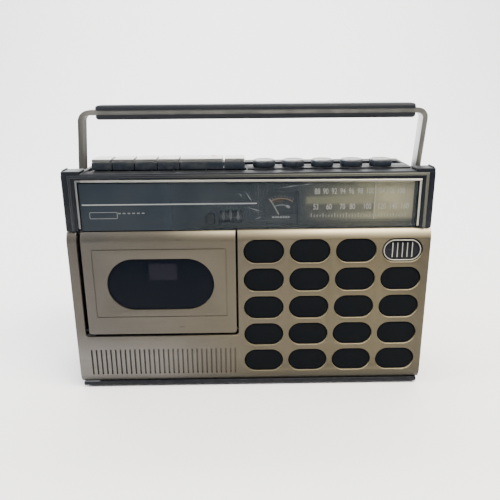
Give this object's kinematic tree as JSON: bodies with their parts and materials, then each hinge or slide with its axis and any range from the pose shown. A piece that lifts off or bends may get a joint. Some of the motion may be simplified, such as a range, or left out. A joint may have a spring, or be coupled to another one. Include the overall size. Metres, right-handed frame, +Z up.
{
  "type": "boombox",
  "caption": "Portable radio cassette recorder with a folding carrying handle, piano keys, long-hole speaker grille, cassette door, dial, battery bay and telescopic antenna.",
  "frame": {"origin": "middle of the case in plan, on the surface that its feet stand on, measured with the handle up and the antenna folded", "axes": "+X to the right as seen from the front, +Y from the front to the back, +Z up"},
  "size_m": [0.335, 0.096, 0.271],
  "materials": {
    "champagne_paint": "satin champagne-grey metallic paint over moulded plastic, lightly scuffed",
    "black_case": "fine-grained bluish-black moulded plastic",
    "smoked_acrylic": "smoked clear acrylic with fine scratches",
    "bright_trim": "polished bright trim and drawn tube",
    "dial_face": "printed dial scale, olive gold on dark grey",
    "pointer_cream": "cream pointer paint",
    "white_plastic": "white meter face and counter drums",
    "key_plastic": "black moulded keys with bright satin caps",
    "knob_finish": "black knobs with turned satin caps",
    "handle_aluminium": "satin anodised strip, warm grey",
    "grip_black": "soft black moulded grip",
    "steel": "plated steel",
    "brass": "turned brass",
    "reel_grey": "grey moulded reel hubs",
    "rubber": "black rubber",
    "cone_paper": "black pressed paper cone",
    "grille_cloth": "black woven grille cloth",
    "board": "brown paper-phenolic board",
    "ferrite": "dark ferrite rod"
  },
  "bodies": {
    "cabinet": {"front_panel": "champagne_paint", "dial_bezel": "black_case", "dial_trim": "bright_trim", "dial_glass": "smoked_acrylic", "dial_scale_plate": "dial_face", "signal_meter": "white_plastic", "counter_housing": "black_case", "rear_cabinet": "black_case", "top_deck": "black_case", "key_shaft": "steel", "handle_pivot_left": "steel", "handle_pivot_right": "steel", "door_hinge_pin": "steel", "cassette_well": "black_case", "mechanism_chassis": "steel", "tape_motor": "steel", "drive_belt": "rubber", "speaker_frame": "steel", "grille_cloth": "grille_cloth", "microphone_badge": "bright_trim", "main_circuit_board": "board", "ferrite_antenna": "ferrite", "power_transformer": "steel", "ac_inlet": "black_case", "battery_case": "black_case"},
    "pointer": {"dial_pointer": "pointer_cream"},
    "needle": {"meter_needle": "pointer_cream"},
    "drum_hundreds": {"counter_drum_hundreds": "white_plastic"},
    "drum_tens": {"counter_drum_tens": "white_plastic"},
    "drum_units": {"counter_drum_units": "white_plastic"},
    "reset_button": {"counter_reset_button": "black_case"},
    "pause": {"pause_key": "key_plastic"},
    "stop_eject": {"stop_eject_key": "key_plastic"},
    "rewind": {"rewind_key": "key_plastic"},
    "fast_forward": {"fast_forward_key": "key_plastic"},
    "record": {"record_key": "key_plastic"},
    "play": {"play_key": "key_plastic"},
    "volume": {"volume_knob": "knob_finish"},
    "tone": {"tone_knob": "knob_finish"},
    "function": {"function_knob": "knob_finish"},
    "band": {"band_knob": "knob_finish"},
    "tuning": {"tuning_knob": "knob_finish"},
    "handle": {"handle_strap": "handle_aluminium", "handle_grip": "grip_black"},
    "door": {"cassette_door": "champagne_paint", "door_window": "smoked_acrylic", "cassette_holder": "black_case"},
    "supply_reel": {"supply_spindle": "reel_grey"},
    "takeup_reel": {"takeup_spindle": "reel_grey"},
    "capstan": {"capstan_flywheel": "brass"},
    "pulley": {"motor_pulley": "brass"},
    "head_carriage": {"head_plate": "steel", "record_play_head": "steel"},
    "roller": {"pinch_roller": "rubber"},
    "cone": {"speaker_cone": "cone_paper"},
    "battery_cover": {"battery_door": "black_case"},
    "antenna_swivel": {"antenna_base": "bright_trim"},
    "antenna_rod": {"antenna_tube": "bright_trim"},
    "antenna_mid": {"antenna_middle": "bright_trim"},
    "antenna_end": {"antenna_tip": "bright_trim"}
  },
  "joints": [
    {"name": "pointer_slide", "type": "slide", "parent": "cabinet", "child": "pointer", "axis": [1, 0, 0], "range_m": [-0.065, 0.026]},
    {"name": "needle_swing", "type": "hinge", "parent": "cabinet", "child": "needle", "pos_m": [0.0298, -0.038, 0.169], "axis": [0, 1, 0], "range_deg": [0, 58]},
    {"name": "drum_hundreds_turn", "type": "hinge", "parent": "cabinet", "child": "drum_hundreds", "pos_m": [-0.0237, -0.0345, 0.1725], "axis": [1, 0, 0], "continuous": true},
    {"name": "drum_tens_turn", "type": "hinge", "parent": "cabinet", "child": "drum_tens", "pos_m": [-0.017, -0.0345, 0.1725], "axis": [1, 0, 0], "continuous": true},
    {"name": "drum_units_turn", "type": "hinge", "parent": "cabinet", "child": "drum_units", "pos_m": [-0.0103, -0.0345, 0.1725], "axis": [1, 0, 0], "continuous": true},
    {"name": "reset_press", "type": "slide", "parent": "cabinet", "child": "reset_button", "axis": [0, 1, 0], "range_m": [0, 0.002], "stiffness_N_per_m": 300, "springref_m": -0.001},
    {"name": "pause_press", "type": "hinge", "parent": "cabinet", "child": "pause", "pos_m": [-0.135, 0.006, 0.205], "axis": [1, 0, 0], "range_deg": [0, 6.5], "stiffness_Nm_per_rad": 1, "springref_deg": -2.86},
    {"name": "stop_eject_press", "type": "hinge", "parent": "cabinet", "child": "stop_eject", "pos_m": [-0.1151, 0.006, 0.205], "axis": [1, 0, 0], "range_deg": [0, 6.5], "stiffness_Nm_per_rad": 1, "springref_deg": -2.86},
    {"name": "rewind_press", "type": "hinge", "parent": "cabinet", "child": "rewind", "pos_m": [-0.09435, 0.006, 0.205], "axis": [1, 0, 0], "range_deg": [0, 6.5], "stiffness_Nm_per_rad": 1, "springref_deg": -2.86},
    {"name": "fast_forward_press", "type": "hinge", "parent": "cabinet", "child": "fast_forward", "pos_m": [-0.0736, 0.006, 0.205], "axis": [1, 0, 0], "range_deg": [0, 6.5], "stiffness_Nm_per_rad": 1, "springref_deg": -2.86},
    {"name": "record_press", "type": "hinge", "parent": "cabinet", "child": "record", "pos_m": [-0.04315, 0.006, 0.205], "axis": [1, 0, 0], "range_deg": [0, 6.5], "stiffness_Nm_per_rad": 1, "springref_deg": -2.86},
    {"name": "play_press", "type": "hinge", "parent": "cabinet", "child": "play", "pos_m": [-0.01295, 0.006, 0.205], "axis": [1, 0, 0], "range_deg": [0, 6.5], "stiffness_Nm_per_rad": 1, "springref_deg": -2.86},
    {"name": "volume_turn", "type": "hinge", "parent": "cabinet", "child": "volume", "pos_m": [0.0145, -0.015, 0.2148], "axis": [0, 0, -1], "range_deg": [-150, 150]},
    {"name": "tone_turn", "type": "hinge", "parent": "cabinet", "child": "tone", "pos_m": [0.0419, -0.015, 0.2148], "axis": [0, 0, -1], "range_deg": [-150, 150]},
    {"name": "function_turn", "type": "hinge", "parent": "cabinet", "child": "function", "pos_m": [0.0693, -0.015, 0.2148], "axis": [0, 0, -1], "range_deg": [-45, 45]},
    {"name": "band_turn", "type": "hinge", "parent": "cabinet", "child": "band", "pos_m": [0.0967, -0.015, 0.2148], "axis": [0, 0, -1], "range_deg": [-45, 45]},
    {"name": "tuning_turn", "type": "hinge", "parent": "cabinet", "child": "tuning", "pos_m": [0.1241, -0.015, 0.2148], "axis": [0, 0, -1], "range_deg": [-770, 307]},
    {"name": "handle_fold", "type": "hinge", "parent": "cabinet", "child": "handle", "pos_m": [0, -0.004, 0.18], "axis": [-1, 0, 0], "range_deg": [0, 95]},
    {"name": "door_open", "type": "hinge", "parent": "cabinet", "child": "door", "pos_m": [-0.0836, -0.0435, 0.0615], "axis": [1, 0, 0], "range_deg": [0, 33]},
    {"name": "supply_spin", "type": "hinge", "parent": "cabinet", "child": "supply_reel", "pos_m": [-0.10485, -0.038, 0.1], "axis": [0, 1, 0], "continuous": true},
    {"name": "takeup_spin", "type": "hinge", "parent": "cabinet", "child": "takeup_reel", "pos_m": [-0.06235, -0.038, 0.1], "axis": [0, 1, 0], "continuous": true},
    {"name": "capstan_spin", "type": "hinge", "parent": "cabinet", "child": "capstan", "pos_m": [-0.057, -0.036, 0.1265], "axis": [0, 1, 0], "continuous": true},
    {"name": "pulley_spin", "type": "hinge", "parent": "cabinet", "child": "pulley", "pos_m": [-0.118, -0.018, 0.128], "axis": [0, 1, 0], "continuous": true},
    {"name": "head_lift", "type": "slide", "parent": "cabinet", "child": "head_carriage", "axis": [0, 0, -1], "range_m": [0, 0.005], "stiffness_N_per_m": 10, "springref_m": -0.0385},
    {"name": "roller_spin", "type": "hinge", "parent": "head_carriage", "child": "roller", "pos_m": [-0.057, -0.039, 0.139], "axis": [0, 1, 0], "continuous": true},
    {"name": "cone_travel", "type": "slide", "parent": "cabinet", "child": "cone", "axis": [0, 1, 0], "range_m": [-0.0005, 0.0005], "stiffness_N_per_m": 1500},
    {"name": "battery_cover_open", "type": "hinge", "parent": "cabinet", "child": "battery_cover", "pos_m": [-0.068, 0.0474, 0.0079], "axis": [-1, 0, 0], "range_deg": [0, 90]},
    {"name": "antenna_swivel_turn", "type": "hinge", "parent": "cabinet", "child": "antenna_swivel", "pos_m": [0.1475, 0.043, 0.209], "axis": [0, 0, 1], "range_deg": [-180, 0]},
    {"name": "antenna_tilt", "type": "hinge", "parent": "antenna_swivel", "child": "antenna_rod", "pos_m": [0.1475, 0.043, 0.209], "axis": [0, 1, 0], "range_deg": [0, 90]},
    {"name": "antenna_mid_slide", "type": "slide", "parent": "antenna_rod", "child": "antenna_mid", "axis": [-1, 0, 0], "range_m": [0, 0.128]},
    {"name": "antenna_end_slide", "type": "slide", "parent": "antenna_mid", "child": "antenna_end", "axis": [-1, 0, 0], "range_m": [0, 0.128]}
  ],
  "couplings": [
    {"joint": "pointer_slide", "follows": "tuning_turn", "m_per_rad": 0.004828},
    {"joint": "drum_units_turn", "follows": "takeup_spin", "ratio": 0.05},
    {"joint": "drum_tens_turn", "follows": "takeup_spin", "ratio": 0.005},
    {"joint": "drum_hundreds_turn", "follows": "takeup_spin", "ratio": 0.0005},
    {"joint": "pulley_spin", "follows": "capstan_spin", "ratio": 5.7778},
    {"joint": "play_press", "follows": "head_lift", "rad_per_m": 22.68}
  ]
}
